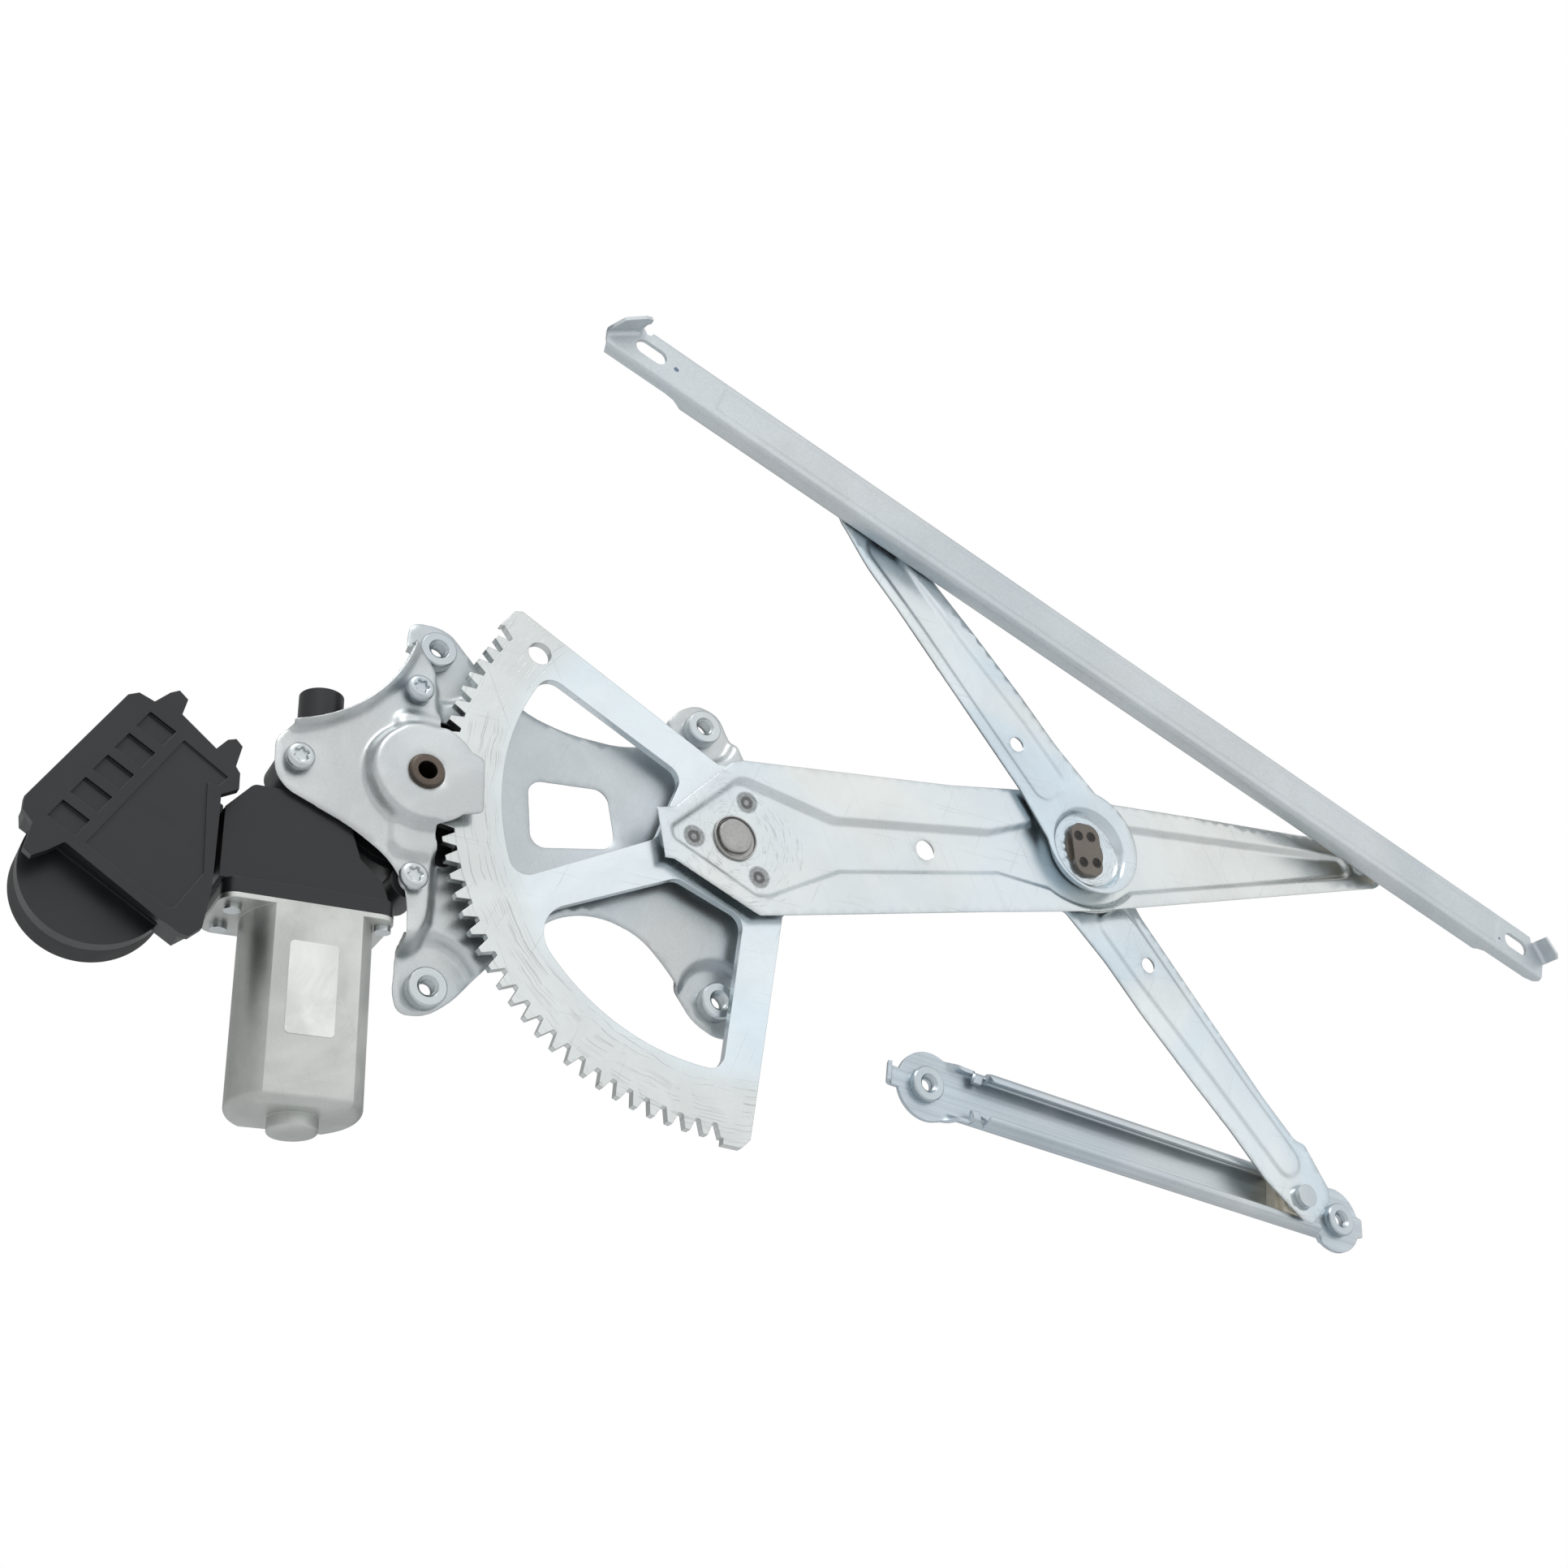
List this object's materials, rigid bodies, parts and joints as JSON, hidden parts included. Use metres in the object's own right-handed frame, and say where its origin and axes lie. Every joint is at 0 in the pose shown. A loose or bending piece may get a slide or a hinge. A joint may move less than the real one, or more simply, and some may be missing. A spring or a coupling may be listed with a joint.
{
  "type": "window regulator",
  "caption": "Scissor-arm power window regulator: a gear motor drives a toothed sector whose lift arm and crossing equalizer arm raise a glass rail.",
  "frame": {"origin": "axis of the base plate's upper right weld nut, on the face that lies on the door's inner panel", "axes": "+X along the glass rail, +Z the way the window rises, -Y the way the front of the mechanism faces"},
  "size_m": [0.5676, 0.056, 0.3385],
  "materials": {
    "zinc_steel": "bright zinc plate",
    "rail_steel": "matte galvanised",
    "pinion_steel": "sintered, oiled",
    "key_steel": "sintered, dark",
    "can_steel": "drawn, dull plated",
    "black_plastic": "moulded, fine grain",
    "natural_plastic": "acetal, undyed",
    "magnet": "sintered ferrite",
    "laminations": "stacked sheet",
    "copper": "machined copper",
    "rubber": "moulded rubber",
    "board": "glass epoxy",
    "brass": "tinned brass",
    "label": "printed paper, left bare"
  },
  "bodies": {
    "base": {"base_plate": "zinc_steel", "base_weld_nuts": "zinc_steel", "pivot_rivet": "zinc_steel", "motor_screws": "zinc_steel", "gear_housing": "black_plastic", "gear_cover": "black_plastic", "thrust_plug": "pinion_steel", "motor_can": "can_steel", "can_bush": "key_steel", "can_screws": "can_steel", "can_label": "label", "motor_magnets": "magnet", "brush_holder": "natural_plastic", "ecu_case": "black_plastic", "ecu_cover": "black_plastic", "circuit_board": "board", "connector_pins": "brass", "connector_gasket": "rubber"},
    "lift": {"sector_gear": "zinc_steel", "lift_arm": "zinc_steel", "lift_pin": "zinc_steel"},
    "equalizer": {"equalizer_upper_arm": "zinc_steel", "equalizer_lower_arm": "zinc_steel", "cross_pivot": "key_steel", "upper_pin": "zinc_steel", "lower_pin": "zinc_steel"},
    "lift_shoe": {"lift_slider": "natural_plastic"},
    "upper_shoe": {"upper_slider": "natural_plastic"},
    "lower_shoe": {"lower_slider": "natural_plastic"},
    "glass_rail": {"glass_rail": "rail_steel"},
    "guide_rail": {"guide_rail": "rail_steel", "guide_rail_nuts": "zinc_steel"},
    "drive_gear": {"drive_pinion": "pinion_steel", "worm_wheel": "natural_plastic"},
    "armature": {"armature_shaft": "pinion_steel", "armature_core": "laminations", "commutator": "copper"}
  },
  "joints": [
    {"name": "lift_swing", "type": "hinge", "parent": "base", "child": "lift", "pos_m": [0.0234, -0.012, -0.0413], "axis": [0, -1, 0], "range_deg": [-80, 18]},
    {"name": "equalizer_swing", "type": "hinge", "parent": "lift", "child": "equalizer", "pos_m": [0.15769, -0.014, 0.04003], "axis": [0, -1, 0], "range_deg": [-36, 160]},
    {"name": "lift_shoe_swing", "type": "hinge", "parent": "lift", "child": "lift_shoe", "pos_m": [0.29198, -0.025, 0.12136], "axis": [0, -1, 0], "range_deg": [-18, 80]},
    {"name": "upper_shoe_swing", "type": "hinge", "parent": "equalizer", "child": "upper_shoe", "pos_m": [0.0234, -0.025, 0.12136], "axis": [0, -1, 0], "range_deg": [-80, 18]},
    {"name": "lower_shoe_swing", "type": "hinge", "parent": "equalizer", "child": "lower_shoe", "pos_m": [0.29198, -0.003, -0.0413], "axis": [0, -1, 0], "range_deg": [-80, 18]},
    {"name": "glass_rail_slide", "type": "slide", "parent": "upper_shoe", "child": "glass_rail", "axis": [1, 0, 0], "range_m": [-0.01, 0.06]},
    {"name": "guide_rail_slide", "type": "slide", "parent": "lower_shoe", "child": "guide_rail", "axis": [0.975, 0, 0.2221], "range_m": [-0.002, 0.13]},
    {"name": "drive_turn", "type": "hinge", "parent": "base", "child": "drive_gear", "pos_m": [-0.08115, 0, -0.08418], "axis": [0, -1, 0], "range_deg": [-236.25, 1050]},
    {"name": "armature_turn", "type": "hinge", "parent": "base", "child": "armature", "pos_m": [-0.10844, 0.002, -0.09565], "axis": [0.3875, 0, -0.9219], "continuous": true}
  ],
  "couplings": [
    {"joint": "equalizer_swing", "follows": "lift_swing", "ratio": -2},
    {"joint": "lift_shoe_swing", "follows": "lift_swing", "ratio": -1},
    {"joint": "upper_shoe_swing", "follows": "lift_swing", "ratio": 1},
    {"joint": "lower_shoe_swing", "follows": "lift_swing", "ratio": 1},
    {"joint": "drive_turn", "follows": "lift_swing", "ratio": -13.125}
  ]
}
